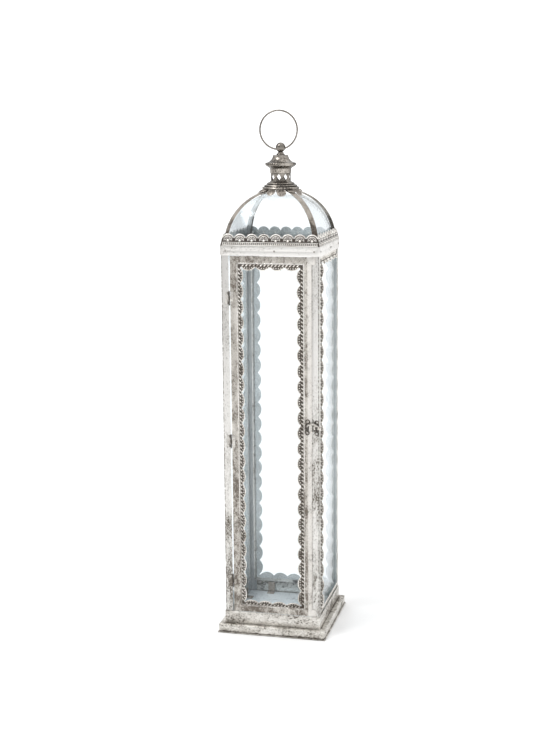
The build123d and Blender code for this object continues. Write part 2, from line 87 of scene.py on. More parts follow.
class Value:
    """A socket of a finish. Sums of sockets and numbers add Math nodes."""

    def __init__(self, finish, socket):
        self.finish = finish
        self.socket = socket

    def __add__(self, other):
        return self.finish.sum("ADD", self, other)

    def __sub__(self, other):
        return self.finish.sum("SUBTRACT", self, other)

    def __rsub__(self, other):
        return self.finish.sum("SUBTRACT", other, self)

    def __mul__(self, other):
        return self.finish.sum("MULTIPLY", self, other)

    def __pow__(self, other):
        return self.finish.sum("POWER", self, other)

    __radd__ = __add__
    __rmul__ = __mul__

    def between(self, low, high):
        """0 at low and 1 at high, eased, whichever of them is the larger."""
        settings = {"interpolation_type": "SMOOTHSTEP"}
        return self.finish.node("MapRange", settings, {"Value": self, "From Min": low, "From Max": high})


class Finish:
    """The nodes of a material, or of the world, under construction."""

    def __init__(self, owner, place="Object"):
        owner.use_nodes = True
        self.owner = owner
        self.nodes = owner.node_tree.nodes
        self.nodes.clear()
        self.place = self.node("TexCoord", out=place)

    def node(self, kind, settings=None, sockets=None, out=0):
        """A node by its type, its settings and the values or links of its sockets."""
        made = self.nodes.new("ShaderNode" + kind)
        for key, value in (settings or {}).items():
            setattr(made, key, value)
        for key, value in (sockets or {}).items():
            if isinstance(value, Value):
                self.owner.node_tree.links.new(value.socket, made.inputs[key])
            else:
                made.inputs[key].default_value = value
        return Value(self, made.outputs[out]) if out is not None else None

    def sum(self, operation, first, second):
        return self.node("Math", {"operation": operation}, {0: first, 1: second})

    def noise(self, size_mm, detail=4, rough=0.55, stretch=(1, 1, 1), shift=(0, 0, 0), twist=0.0):
        """Noise whose features are about size_mm across, stretched by a factor along each axis."""
        scale = tuple(1 / (size_mm * MM * s) for s in stretch)
        spot = self.node("Mapping", {}, {
            "Vector": self.place,
            "Location": shift,
            "Rotation": OFF_THE_GRID,
            "Scale": scale,
        })
        return self.node("TexNoise", {}, {
            "Vector": spot,
            "Scale": 1.0,
            "Detail": detail,
            "Roughness": rough,
            "Distortion": twist,
        }, out="Fac")

    def mix(self, first, second, share):
        """A colour between two, by a share of the second."""
        return self.node("Mix", {"data_type": "RGBA"}, {0: share, 6: first, 7: second}, out=2)

    def along(self, axis):
        """The coordinate along one axis, which is in metres on a piece."""
        return self.node("SeparateXYZ", {}, {0: self.place}, out=axis)

    def crease(self, reach_mm, alone):
        """0 in the open and up to 1 deep in a corner or a recess. alone leaves other pieces out."""
        settings = {"samples": 6, "only_local": alone}
        open_share = self.node("AmbientOcclusion", settings, {"Distance": reach_mm * MM}, out="AO")
        return 1 - open_share

    def reach(self, operation):
        """The larger or the smaller of the distances across and along the body from its middle."""
        across = self.sum("ABSOLUTE", self.along("X"), 0)
        deep = self.sum("ABSOLUTE", self.along("Y"), 0)
        return self.sum(operation, across, deep)

    def within_body(self):
        """1 on the faces that look into the lantern, 0 on the outside of its sheet."""
        return self.reach("MAXIMUM").between((BODY - 0.3) * MM, (BODY - 0.7) * MM)

    def body_corner(self):
        """1 in a narrow line down each corner of the body."""
        return self.reach("MINIMUM").between((BODY - 1.7) * MM, (BODY - 1.0) * MM)

    def edge(self, radius_mm):
        """1 on sharp edges and corners, 0 on flats."""
        rounded = self.node("Bevel", {"samples": 4}, {"Radius": radius_mm * MM})
        true = self.node("NewGeometry", {}, {}, out="Normal")
        same = self.node("VectorMath", {"operation": "DOT_PRODUCT"}, {0: rounded, 1: true}, out="Value")
        return (1 - same).between(0.01, 0.16)

    def close(self, shader, kind="OutputMaterial"):
        self.node(kind, {}, {"Surface": shader}, out=None)
        return self.owner


def rgb(red, green, blue):
    return (red, green, blue, 1.0)


def scaled(colour, share):
    """A colour made darker or lighter by a share of itself."""
    return rgb(*[min(1.0, share * c) for c in colour])


LAP_LEAF = (0.80, 0.78, 0.75)   # cleaner leaf on the part of the door that laps over the post


def worn_silver(name, light, shade, stain, tarnish=0.5, metal=0.75, rough=0.36, low=0.0, span=(0.45, 0.0),
                raised=False, pits=1.0, grime_and_shade=1.0, alone=True, rim=0.0, wear_and_highlight=0.6, corner=0.0, inner=None,
                lap_from=None, grain=(1, 1, 1), size=1.0, shift=(0, 0, 0)):
    """Silver leaf on sheet: cloudy, speckled, darkened in creases with painted shade, and rubbed bright on
    edges with a painted highlight.

    light, shade and stain are its three colours, and tarnish is how much of it is stained.
    low darkens it more towards the lower end of the span of heights. grain stretches stains, size scales them
    and shift moves them.
    raised is for pressed work whose ground is darkened, partly patina and partly painted shade, and pits is
    how dark the small specks are.
    grime_and_shade gathers stains in creases and darkens them with painted shade, and alone leaves other
    pieces out of a crease's stains and shade.
    rim darkens a round piece towards its outline, a painted dark reflection, and wear_and_highlight is the
    width in millimetres of its edges, rubbed bright and lit with a painted highlight.
    corner darkens the four corners of the body with painted shade, and inner is the dim, cool colour of the
    inside of the sheet, a painted shade.
    lap_from is how far to the right, in millimetres, the cleaner part of a door begins.
    """
    f = Finish(bpy.data.materials.new(name))
    cloud = f.noise(48 * size, 3, 0.6, stretch=grain, shift=shift, twist=0.6)
    mottle = f.noise(9 * size, 8, 0.8, stretch=grain, shift=shift, twist=0.4)
    speck = f.noise(2.3 * size, 4, 0.75, stretch=[g ** 0.4 for g in grain], shift=shift)
    # crease is how shut in a point is. It gathers stains there and, further down, paints shade there.
    crease = f.crease(3.5, alone)
    foot = f.along("Z").between(*span) * low
    load = mottle * 0.60 + cloud * 0.50 + speck * 0.45 + crease * (0.30 * grime_and_shade) + foot * 0.11
    if lap_from:
        lap = f.along("X").between((lap_from - 0.8) * MM, (lap_from + 0.8) * MM)
        load = load - lap * 0.08

    # Stains begin where the load passes start, with a faint halo before them and pits inside the halo.
    start = 0.945 - 0.20 * tarnish
    stained = load.between(start, start + 0.07)
    faint = load.between(start - 0.14, start)
    pit = speck.between(0.58, 0.63) * faint * pits
    leaf = f.mix(rgb(*light), rgb(*shade), faint * 0.75)
    if lap_from:
        leaf = f.mix(leaf, rgb(*LAP_LEAF), lap * 0.5)
    leaf = f.mix(leaf, rgb(*stain), stained * 0.9)
    leaf = f.mix(leaf, scaled(stain, 0.32), (stained * 0.55 + pit * 0.45) * speck.between(0.44, 0.58))

    # Pressed work: its sunk ground darkened, partly patina and partly painted shade.
    if raised:
        top = f.node("Attribute", {"attribute_name": "raised"}, {}, out="Fac")
        sunk = top.between(0.70, 0.15)
        leaf = f.mix(leaf, scaled(stain, 0.36), sunk * 0.97)
        stained = (stained + sunk).between(0.0, 1.4)
    else:
        # Edges rubbed bright, with a painted highlight on them.
        bright = f.edge(wear_and_highlight) * (1 - crease.between(0.2, 0.5)) * (0.1 + speck * 1.1)
        leaf = f.mix(leaf, scaled(light, 1.15), bright * 0.85)
    # Painted shade: a narrow, speckled dark line down each corner of the body.
    if corner:
        leaf = f.mix(leaf, scaled(stain, 0.45), f.body_corner() * speck.between(0.36, 0.56) * corner)
    # Painted shade: faces that look into the lantern take a dimmer, cooler colour.
    if inner:
        within = top.between(1.2, 1.7) if raised else f.within_body()
        leaf = f.mix(leaf, rgb(*inner), within * (0.72 + (mottle - 0.5) * 0.9))
    # Painted dark reflection: a round piece darkened towards its outline.
    if rim:
        outline = f.node("LayerWeight", {}, {"Blend": 0.5}, "Facing")
        leaf = f.mix(leaf, scaled(shade, 0.3), outline ** 2 * rim)
    # Painted shade: creases, recesses and joints between pieces darkened by how shut in they are.
    if grime_and_shade:
        leaf = f.mix(leaf, scaled(stain, 0.16), crease.between(0.22, 0.62) * (0.9 * grime_and_shade))

    dents = mottle * 0.8 + speck * 0.30 - stained * 0.30 + cloud * 1.6
    bump = f.node("Bump", {}, {"Strength": 0.6, "Distance": 0.4 * MM, "Height": dents})
    shader = f.node("BsdfPrincipled", {}, {
        "Base Color": leaf,
        "Metallic": metal - stained * (0.6 * metal),
        "Roughness": rough + stained * 0.24 + pit * 0.12 + (speck - 0.5) * 0.14,
        "Normal": bump,
    })
    return f.close(shader)


def clear_pane(name, tint, blur):
    """Thin clear glass: it tints what is behind it and mirrors more at a glancing angle."""
    f = Finish(bpy.data.materials.new(name))
    smear = f.noise(70, 4, 0.55, stretch=(1, 1, 2.5))
    dust = f.noise(6, 5, 0.7)
    through = f.node("BsdfTransparent", {}, {"Color": rgb(*tint)})
    mirror = f.node("BsdfPrincipled", {}, {
        "Base Color": rgb(0.93, 0.97, 1.0),
        "Metallic": 1.0,
        "Roughness": blur + smear * 0.06 + dust * 0.04,
    })
    glance = f.node("LayerWeight", {}, {"Blend": 0.5}, out="Facing")
    share = glance ** 4 * 0.8 + 0.03 + (smear - 0.5) * 0.03
    return f.close(f.node("MixShader", {}, {0: share, 1: through, 2: mirror}))


LEVEL = (2.5, 2.5, 1)       # stains that run along a band
UPRIGHT = (1, 1, 2.6)       # stains that run down a post
# Painted shade: the dim, cool colour of the inside of the sheet.
INSIDE_SHADE = (0.40, 0.425, 0.44)  # inside of the sheet
sheet_silver = worn_silver("sheet_silver", (0.77, 0.755, 0.73), (0.56, 0.545, 0.515), (0.22, 0.19, 0.155),
                           tarnish=0.40, low=1.0, grain=UPRIGHT, inner=INSIDE_SHADE, corner=0.9)
foot_silver = worn_silver("foot_silver", (0.83, 0.81, 0.77), (0.50, 0.47, 0.42), (0.13, 0.108, 0.082),
                          tarnish=0.53, low=0.3, grain=LEVEL, alone=False, size=0.9, grime_and_shade=0.8, wear_and_highlight=1.2)
plinth_silver = worn_silver("plinth_silver", (0.82, 0.80, 0.76), (0.52, 0.49, 0.445), (0.145, 0.12, 0.092),
                            tarnish=0.53, low=0.4, grain=LEVEL, size=1.1, wear_and_highlight=1.2, inner=INSIDE_SHADE,
                            shift=(4, 4, 4))
door_silver = worn_silver("door_silver", (0.70, 0.67, 0.625), (0.43, 0.40, 0.36), (0.165, 0.135, 0.107),
                          tarnish=0.74, low=0.5, grain=(1, 1, 1.4), size=0.42, inner=INSIDE_SHADE, lap_from=DOOR_LAP,
                          shift=(3, 1, 7))
band_silver = worn_silver("band_silver", (0.82, 0.805, 0.78), (0.64, 0.62, 0.59), (0.28, 0.245, 0.21),
                          tarnish=0.32, grain=LEVEL, inner=INSIDE_SHADE, shift=(1, 5, 2))
# The floor plate: its cool, bluish tint is painted light from inside the lantern.
inner_silver = worn_silver("inner_silver", (0.80, 0.84, 0.86), (0.62, 0.66, 0.68), (0.30, 0.31, 0.32),
                           tarnish=0.30, rough=0.45, metal=0.4)
# Lace and crest: inner is the painted shade on their backs.
lace_silver = worn_silver("lace_silver", (0.92, 0.89, 0.84), (0.62, 0.575, 0.515), (0.17, 0.135, 0.105),
                          tarnish=0.46, raised=True, rough=0.28, grime_and_shade=0, size=0.5, inner=(0.60, 0.63, 0.64))
crest_silver = worn_silver("crest_silver", (0.96, 0.935, 0.89), (0.70, 0.65, 0.59), (0.13, 0.10, 0.078),
                           tarnish=0.30, raised=True, rough=0.28, grime_and_shade=0, size=0.5, inner=(0.46, 0.49, 0.50),
                           shift=(2, 2, 0))
pewter = worn_silver("pewter", (0.54, 0.50, 0.45), (0.18, 0.16, 0.137), (0.036, 0.028, 0.022),
                     tarnish=0.74, rough=0.18, metal=0.93, alone=False, size=0.6, rim=1.1, wear_and_highlight=1.0)
petal_pewter = worn_silver("petal_pewter", (0.50, 0.46, 0.415), (0.30, 0.265, 0.23), (0.12, 0.097, 0.078),
                           tarnish=0.45, rough=0.30, metal=0.9, raised=True, grime_and_shade=0.4)
strap_silver = worn_silver("strap_silver", (0.37, 0.335, 0.295), (0.255, 0.225, 0.19), (0.08, 0.064, 0.05),
                           tarnish=0.50, rough=0.46, metal=0.4, size=0.6, low=1.6, span=(0.700, 0.676),
                           shift=(6, 0, 1))
hook_silver = worn_silver("hook_silver", (0.86, 0.83, 0.78), (0.36, 0.32, 0.275), (0.045, 0.036, 0.029),
                          tarnish=0.50, rough=0.22, metal=0.9, size=0.35, alone=False)
cast_silver = worn_silver("cast_silver", (0.58, 0.54, 0.49), (0.15, 0.128, 0.107), (0.028, 0.022, 0.017),
                          tarnish=1.10, rough=0.26, metal=0.85, size=0.35, alone=False)
hinge_silver = worn_silver("hinge_silver", (0.74, 0.72, 0.685), (0.50, 0.47, 0.43), (0.18, 0.15, 0.12),
                           tarnish=0.60, low=1.0, raised=True, grime_and_shade=0, size=0.6)
# The ring and the ball have colours darker than their metal's own: a painted dark reflection.
ring_nickel = worn_silver("ring_nickel", (0.34, 0.315, 0.285), (0.18, 0.162, 0.142), (0.06, 0.05, 0.04),
                          tarnish=0.5, rough=0.18, metal=0.95, grime_and_shade=0, size=0.6, rim=1.4)
ball_nickel = worn_silver("ball_nickel", (0.25, 0.23, 0.205), (0.15, 0.135, 0.118), (0.06, 0.05, 0.04),
                          tarnish=0.30, rough=0.10, metal=0.97, pits=0.3, rim=1.4)
bead_silver = worn_silver("bead_silver", (0.86, 0.84, 0.81), (0.60, 0.575, 0.54), (0.22, 0.187, 0.155),
                          tarnish=0.52, rough=0.24, metal=0.85, low=1.0, grain=UPRIGHT)
brown_clip = worn_silver("brown_clip", (0.36, 0.32, 0.28), (0.25, 0.215, 0.185), (0.10, 0.083, 0.068),
                         tarnish=0.5, rough=0.45, metal=0.5)
rivet_steel = worn_silver("rivet_steel", (0.45, 0.43, 0.40), (0.30, 0.28, 0.26), (0.10, 0.09, 0.08),
                          tarnish=0.6, rough=0.35)
window_glass = clear_pane("window_glass", (0.972, 0.985, 0.991), 0.02)
dome_glass = clear_pane("dome_glass", (0.975, 0.987, 0.992), 0.03)


# Mesh helpers. Pieces are shaped in millimetres and brought to metres at the end.

CAD_WELD = 0.004        # points of a CAD shape nearer than this are joined
WELD = 0.01             # and points of pressed work
FLAT = 1.5              # faces that bend less than this are one face, in degrees
FOLD = 30.0             # edges that bend more than this are rounded, in degrees
TOP = 1.0               # how raised the top of pressed work counts
INNER_SIDE = 2.0        # and the side of the sheet that looks into the lantern


def loose_ends(bm):
    return [e for e in bm.edges if e.is_boundary]


def only_verts(geom):
    return [g for g in geom if isinstance(g, bmesh.types.BMVert)]


def close_shell(bm):
    bmesh.ops.holes_fill(bm, edges=loose_ends(bm), sides=0)
    bmesh.ops.recalc_face_normals(bm, faces=bm.faces)


def add_to(target, part, matrix=None):
    """Copy one bmesh into another, moved by a matrix, and free it."""
    if matrix is not None:
        part.transform(matrix)
    mesh = bpy.data.meshes.new("part")
    part.to_mesh(mesh)
    part.free()
    target.from_mesh(mesh)
    bpy.data.meshes.remove(mesh)


def mark(bm, value, verts=None):
    """How far vertices stand out of their ground: 0 on the ground, 1 on top, 2 on the sheet's inner side."""
    layer = bm.verts.layers.float.get("raised") or bm.verts.layers.float.new("raised")
    for v in bm.verts if verts is None else verts:
        v[layer] = value
    return bm


def finish_piece(name, bm, body, stands_for, material, smooth=40):
    """Bring a piece to metres, give it its finish and let it ride."""
    bm.transform(Matrix.Scale(MM, 4))
    for f in bm.faces:
        f.smooth = True
    for e in bm.edges:
        e.smooth = len(e.link_faces) == 2 and e.calc_face_angle(0) < radians(smooth)
    mesh = bpy.data.meshes.new(name)
    bm.to_mesh(mesh)
    bm.free()
    piece = bpy.data.objects.new(name, mesh)
    bpy.context.scene.collection.objects.link(piece)
    mesh.materials.append(material)
    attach(piece, body)
    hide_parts(*stands_for)


def softened(name, node, body, material, radius=0.4, segments=2, smooth=40, knuckled=False):
    """A CAD node's shape with its sharp edges rounded. A knuckled piece counts as sunk at its knuckles."""
    bm = bmesh.new()
    bm.from_mesh(cad[node].data)
    bm.transform(Matrix.Scale(1 / MM, 4))
    bmesh.ops.remove_doubles(bm, verts=bm.verts, dist=CAD_WELD)
    bmesh.ops.dissolve_limit(bm, angle_limit=radians(FLAT), verts=bm.verts, edges=bm.edges)
    sharp = [e for e in bm.edges if len(e.link_faces) == 2 and e.calc_face_angle(0) > radians(FOLD)]
    bmesh.ops.bevel(bm, geom=sharp, offset=radius, offset_type="OFFSET", affect="EDGES", segments=segments,
                    profile=0.5, material=-1, clamp_overlap=True)
    bmesh.ops.recalc_face_normals(bm, faces=bm.faces)
    if knuckled:
        mark(bm, 0.9)
        mark(bm, 0.1, [v for v in bm.verts if abs(v.co.x - HINGE_LINE) < KNUCKLE])
    finish_piece(name, bm, body, [node], material, smooth)


def block(x0, x1, y0, y1, z0, z1):
    bm = bmesh.new()
    size = Matrix.Diagonal((x1 - x0, y1 - y0, z1 - z0, 1))
    middle = Matrix.Translation(((x0 + x1) / 2, (y0 + y1) / 2, (z0 + z1) / 2))
    bmesh.ops.create_cube(bm, size=1, matrix=middle @ size)
    return bm


def bead(x, y, z, radius, tall, long=None, segments=6, rings=4):
    """A low dome, stretched along Y where long is given."""
    bm = bmesh.new()
    place = Matrix.Translation((x, y, z)) @ Matrix.Diagonal((radius, long or radius, tall, 1))
    bmesh.ops.create_uvsphere(bm, u_segments=segments, v_segments=rings, radius=1, matrix=place)
    return bm


def bar_end(wide, tall, ground):
    """The outline across a bar, in steps across and up: a flat foot and a rounded back."""
    shoulder = ground + tall * 0.8
    return [(-wide / 2, ground), (-wide / 3.4, shoulder), (0, ground + tall), (wide / 3.4, shoulder),
            (wide / 2, ground)]


def looped(bm, points):
    """Vertices at the points and the edges that join them in a loop."""
    verts = [bm.verts.new(point) for point in points]
    return verts, [bm.edges.new((v, verts[(i + 1) % len(verts)])) for i, v in enumerate(verts)]


def arc_bar(cx, cy, radius, start, sweep, wide, tall, steps, ground=0.0):
    """A bar with a rounded back that follows an arc in the XY plane. Angles are from +X, turning to +Y."""
    bm = bmesh.new()
    verts, loop = looped(bm, [(radius + across, 0, up) for across, up in bar_end(wide, tall, ground)])
    bmesh.ops.spin(bm, geom=verts + loop, cent=(0, 0, 0), axis=(0, 0, 1), angle=sweep, steps=steps,
                   use_merge=abs(sweep) > 2 * pi - 0.01)
    close_shell(bm)
    bm.transform(Matrix.Translation((cx, cy, 0)) @ Matrix.Rotation(start, 4, "Z"))
    return bm


def straight_bar(x0, y0, x1, y1, wide, tall, ground=0.0):
    """A bar with a rounded back between two points of the XY plane."""
    bm = bmesh.new()
    loop = looped(bm, [(0, across, up) for across, up in bar_end(wide, tall, ground)])[1]
    run = Vector((x1 - x0, y1 - y0, 0))
    far = only_verts(bmesh.ops.extrude_edge_only(bm, edges=loop)["geom"])
    bmesh.ops.translate(bm, verts=far, vec=(run.length, 0, 0))
    close_shell(bm)
    bm.transform(Matrix.Translation((x0, y0, 0)) @ run.to_track_quat("X", "Z").to_matrix().to_4x4())
    return bm


def grounded(bm, thick, back=0.0):
    """Give flat faces their thickness, from the plane upwards. back is how raised the underside counts."""
    mark(bm, back)
    top = only_verts(bmesh.ops.extrude_face_region(bm, geom=bm.faces[:])["geom"])
    bmesh.ops.translate(bm, verts=top, vec=(0, 0, thick))
    mark(bm, 0.0, top)
    bmesh.ops.recalc_face_normals(bm, faces=bm.faces)
    return bm


def mitre(bm, at, outwards):
    """Cut off what lies past a plane and close the cut."""
    geom = bm.verts[:] + bm.edges[:] + bm.faces[:]
    bmesh.ops.bisect_plane(bm, geom=geom, plane_co=at, plane_no=outwards, clear_outer=True)
    bmesh.ops.holes_fill(bm, edges=loose_ends(bm), sides=0)


# Pressed lace

def scallop_arc(pitch, rise, root):
    """Centre height, radius and half angle of a scallop that rises from root."""
    radius = (pitch * pitch / 4 + rise * rise) / (2 * rise)
    return root + rise - radius, radius, asin(pitch / 2 / radius)


def scallop_ground(count, pitch, start, rise, root, ends):
    """The flat ground of a row of scallops, one face for each, and of the plain ends beside them."""
    row = bmesh.new()
    cy, _, half = scallop_arc(pitch, rise, root)
    for i in range(count):
        cell = bmesh.new()
        first = cell.verts.new((0, root, 0))
        bmesh.ops.spin(cell, geom=[first], cent=(pitch / 2, cy, 0), axis=(0, 0, 1), angle=-2 * half,
                       steps=10)
        arc = sorted(cell.verts, key=lambda v: v.co.x)
        foot = [cell.verts.new((pitch, 0, 0)), cell.verts.new((0, 0, 0))]
        cell.faces.new([*arc, *foot])
        add_to(row, cell, Matrix.Translation((start + i * pitch, 0, 0)))
    for x0, x1 in ends:
        row.faces.new([row.verts.new(p) for p in ((x0, 0, 0), (x1, 0, 0), (x1, root, 0), (x0, root, 0))])
    bmesh.ops.remove_doubles(row, verts=row.verts, dist=WELD)
    return row


def lace_cell(pitch):
    """The raised work of one scallop, its left foot at the origin: rim, row of dots and slanted chain."""
    work = bmesh.new()
    cy, radius, half = scallop_arc(pitch, LACE_RISE, LACE_ROOT)
    mid = pitch / 2
    add_to(work, arc_bar(mid, cy, radius - 0.85, pi / 2 - half + 0.02, 2 * half - 0.04, wide=1.6, tall=0.85,
                         steps=10, ground=LACE_GROUND))
    dots = 4
    for i in range(dots):
        across = i - (dots - 1) / 2
        up = LACE_ROOT + 2.4 - 0.9 * abs(across)
        add_to(work, bead(mid + 4.0 * across, up, LACE_GROUND, 1.05, tall=0.7, segments=7))
    links = 4
    for i in range(links):
        x = pitch * (i + 0.5) / links
        add_to(work, straight_bar(x - 1.3, 0.4, x + 1.3, 3.9, wide=2.0, tall=0.8, ground=LACE_GROUND))
    return work


def lace_back(pitch):
    """The hollow side of one scallop, where only its rim shows."""
    cy, radius, half = scallop_arc(pitch, LACE_RISE, LACE_ROOT)
    return arc_bar(pitch / 2, cy, radius - 0.75, pi / 2 - half + 0.02, 2 * half - 0.04, wide=1.3, tall=0.28,
                   steps=8, ground=-0.02)


def lace_row(length, count, margin):
    """One side of a lace frame, flat: the fold on the X axis, the tips at +Y, the front at +Z."""
    inset = LACE_ROOT * cos(radians(LACE_FLARE)) + 1.0
    pitch = (length - 2 * inset) / count
    ends = ((-LACE_ROOT, inset), (length - inset, length + LACE_ROOT))
    lace = scallop_ground(count, pitch, inset, LACE_RISE, LACE_ROOT, ends)
    grounded(lace, LACE_SHEET, back=INNER_SIDE)
    back = bmesh.new()
    front = bmesh.new()
    for i in range(count):
        place = Matrix.Translation((inset + i * pitch, 0, 0))
        add_to(front, lace_cell(pitch), place)
        add_to(back, lace_back(pitch), place)
    back.transform(Matrix.Diagonal((1, 1, -1, 1)))
    bmesh.ops.recalc_face_normals(back, faces=back.faces)
    add_to(lace, mark(front, TOP))
    add_to(lace, mark(back, INNER_SIDE))
    lace.transform(Matrix.Rotation(radians(LACE_FLARE), 4, "X"))
    flange = block(-margin, length + margin, -margin, 0.25, 0.0, 0.74)
    add_to(lace, mark(flange, 0.6))
    mitre(lace, (0, 0, 0), (-1, 1, 0))
    mitre(lace, (length, 0, 0), (1, 1, 0))
    return lace


def lace_frame(name, window, count, margin, back_y, turn, body, node):
    """Four mitred lace sides round a window. margin is the width of the flange that lies on the frame."""
    left, right, foot, head = window
    x0, x1, z0, z1 = (left + LACE_FOLD, right - LACE_FOLD, foot + LACE_FOLD, head - LACE_FOLD)
    upright = Matrix.Rotation(radians(90), 4, "X")
    whole = bmesh.new()
    corners = ((x0, z0), (x1, z0), (x1, z1), (x0, z1))
    rows = (lace_row(x1 - x0, count, margin), lace_row(z1 - z0, LACE_COLUMN, margin))
    for i, (x, z) in enumerate(corners):
        spin = Matrix.Rotation(radians(-90 * i), 4, "Y")
        around = Matrix.Rotation(radians(turn), 4, "Z")
        add_to(whole, rows[i % 2].copy(), around @ Matrix.Translation((x, back_y, z)) @ spin @ upright)
    for row in rows:
        row.free()
    finish_piece(name, whole, body, [node], lace_silver, smooth=50)


for side, turn in SIDES[1:]:
    lace_frame("lace_" + side, WALL_WINDOW, LACE_WALL_ROW, 5.0, -BODY + SHEET + LACE_THICK, turn, "frame",
               "trim_" + side)
lace_frame("lace_door", DOOR_WINDOW, LACE_DOOR_ROW, 3.0, DOOR_BACK + LACE_THICK, 0, "door", "door_trim")


# Crest over the top band

def crest_lobe(pitch):
    """Raised work of one lobe: two rims, a shell of ribs round an eye, and beads between two lines."""
    work = bmesh.new()
    cy, radius, half = scallop_arc(pitch, CREST_RISE, CREST_ROOT)
    mid = pitch / 2
    add_to(work, arc_bar(mid, cy, radius - 0.9, pi / 2 - half + 0.05, 2 * half - 0.10, wide=1.7, tall=0.62,
                         steps=12, ground=CREST_GROUND))
    add_to(work, arc_bar(mid, cy, radius - 3.9, radians(-8), radians(196), wide=1.2, tall=0.5, steps=12,
                         ground=CREST_GROUND))
    rib_from, rib_to = 3.0, 5.2
    for i in range(5):
        turn = radians(10 + 40 * i)
        inner = (mid + rib_from * cos(turn), cy + rib_from * sin(turn))
        outer = (mid + rib_to * cos(turn), cy + rib_to * sin(turn))
        add_to(work, straight_bar(*inner, *outer, wide=1.3, tall=0.5, ground=CREST_GROUND))
    add_to(work, bead(mid, cy - 0.3, CREST_GROUND, 2.0, tall=0.8, segments=9, rings=5))
    beads = 6
    for i in range(beads):
        add_to(work, bead(pitch * (i + 0.5) / beads, 3.2, CREST_GROUND, 1.0, tall=0.55, long=1.4))
    for up, wide in ((0.9, 1.2), (5.6, 0.9)):
        add_to(work, straight_bar(0, up, pitch, up, wide=wide, tall=0.5, ground=CREST_GROUND))
    return work


def crest(name, turn, node):
    """One strip of the crest, leaning inwards on the top band and mitred at the corners."""
    pitch = 2 * CREST_END / CREST_COUNT
    half = BODY + BAND_PROUD
    ends = ((-half, -CREST_END), (CREST_END, half))
    strip = scallop_ground(CREST_COUNT, pitch, -CREST_END, CREST_RISE, CREST_ROOT, ends)
    grounded(strip, CREST_SHEET, back=INNER_SIDE)
    front = bmesh.new()
    for i in range(CREST_COUNT):
        add_to(front, crest_lobe(pitch), Matrix.Translation((-CREST_END + i * pitch, 0, 0)))
    add_to(strip, mark(front, TOP))
    place = Matrix.Translation((0, -half + 0.9, BAND_TOP + 0.15))
    strip.transform(place @ Matrix.Rotation(radians(90 - CREST_LEAN), 4, "X"))
    for side in (-1, 1):
        mitre(strip, (0, 0, 0), (side, 1, 0))
    strip.transform(Matrix.Rotation(radians(turn), 4, "Z"))
    finish_piece(name, strip, "frame", [node], crest_silver, smooth=50)


for side, turn in SIDES:
    crest("crest_work_" + side, turn, "crest_" + side)


# Sheet work with rounded folds

for node, material, radius in (("base_hem", foot_silver, 0.5), ("base_pan", foot_silver, 0.5),
                               ("plinth_band", plinth_silver, 0.35), ("top_band", band_silver, 0.35),
                               ("floor_plate", inner_silver, 0.2)):
    softened(node + "_formed", node, "frame", material, radius)
for corner in ("front_left", "front_right", "back_right", "back_left"):
    softened("angle_" + corner, "post_" + corner, "frame", sheet_silver, 0.4)
    softened("strap_" + corner, "dome_strap_" + corner, "frame", strap_silver, 0.35)
softened("door_sheet", "door_frame", "door", door_silver, 0.3)
softened("door_beading", "door_bead", "door", bead_silver, 0.2, 1)
softened("crown_disc", "crown_ring", "frame", pewter, 0.3)

for body, part in (("frame", "post"), ("door", "door")):
    for place in ("upper", "middle", "lower"):
        node = "hinge_" + part + "_leaf_" + place
        softened(node + "_formed", node, body, hinge_silver, 0.2, knuckled=True)
for body, node in (("frame", "keeper_plate"), ("frame", "keeper_pin"),
                   ("door", "latch_plate"), ("door", "latch_pivot")):
    softened(node + "_cast", node, body, cast_silver, 0.2)
softened("latch_hook_cast", "latch_hook", "latch", hook_silver, 0.45)
softened("wall_clips", "wall_glass_tabs", "frame", brown_clip, 0.25)
softened("door_clips", "door_glass_tabs", "door", brown_clip, 0.2)


# Chimney

softened("chimney_tube", "chimney_neck", "frame", pewter, 0.25, smooth=45)
softened("chimney_bell", "chimney_cap", "frame", pewter, 0.25, smooth=45)
softened("knob_foot", "knob_collar", "frame", pewter, 0.2)


def petal(turn, droop, long, wide):
    """One pressed leaf of the collar, with a rib down its middle, pointing outwards along +X."""
    leaf = bmesh.new()
    outline = Matrix.Diagonal((long, wide, 1, 1))
    bmesh.ops.create_circle(leaf, cap_ends=True, segments=14, radius=1, matrix=outline)
    grounded(leaf, 0.55)
    bmesh.ops.bevel(leaf, geom=leaf.edges[:], offset=0.18, affect="EDGES", segments=1, profile=0.5,
                    material=-1)
    mark(leaf, 0.46)
    rib = straight_bar(-long * 0.8, 0, long * 0.85, 0, wide=1.0, tall=0.6, ground=0.5)
    add_to(leaf, mark(rib, TOP))
    rim = arc_bar(0, 0, 1, 0, 2 * pi, wide=0.26, tall=1.1, steps=14)
    rim.transform(Matrix.Diagonal((long - 0.5, wide - 0.45, 0.95, 1)))
    add_to(leaf, mark(rim, TOP))
    place = Matrix.Rotation(turn, 4, "Z") @ Matrix.Translation((LEAF_ROOT, 0, COLLAR_LOW - 0.2))
    leaf.transform(place @ Matrix.Rotation(droop, 4, "Y") @ Matrix.Translation((long - 1.0, 0, 0)))
    return leaf


collar = bmesh.new()
for i in range(COLLAR_LEAVES):
    on_strap = i % 3 == 1
    turn = radians((i + 0.5) * 360 / COLLAR_LEAVES)
    droop = radians(20) if on_strap else radians(40 + 8 * (i % 2))
    add_to(collar, petal(turn, droop, 6.6 if on_strap else 7.4, 6.9 + 0.5 * (i % 2)))
washer = arc_bar(0, 0, 23.0, 0, 2 * pi, wide=12.0, tall=0.85, steps=48, ground=COLLAR_LOW)
add_to(collar, mark(washer, 0.8))
finish_piece("leaf_skirt", collar, "frame", ["leaf_collar"], petal_pewter, smooth=50)


# Plain finishes on the parts that keep their own shape

def dress(names, material):
    """Give CAD nodes a finish and leave their shape alone."""
    for name in names:
        mesh = cad[name].data
        mesh.materials.clear()
        mesh.materials.append(material)


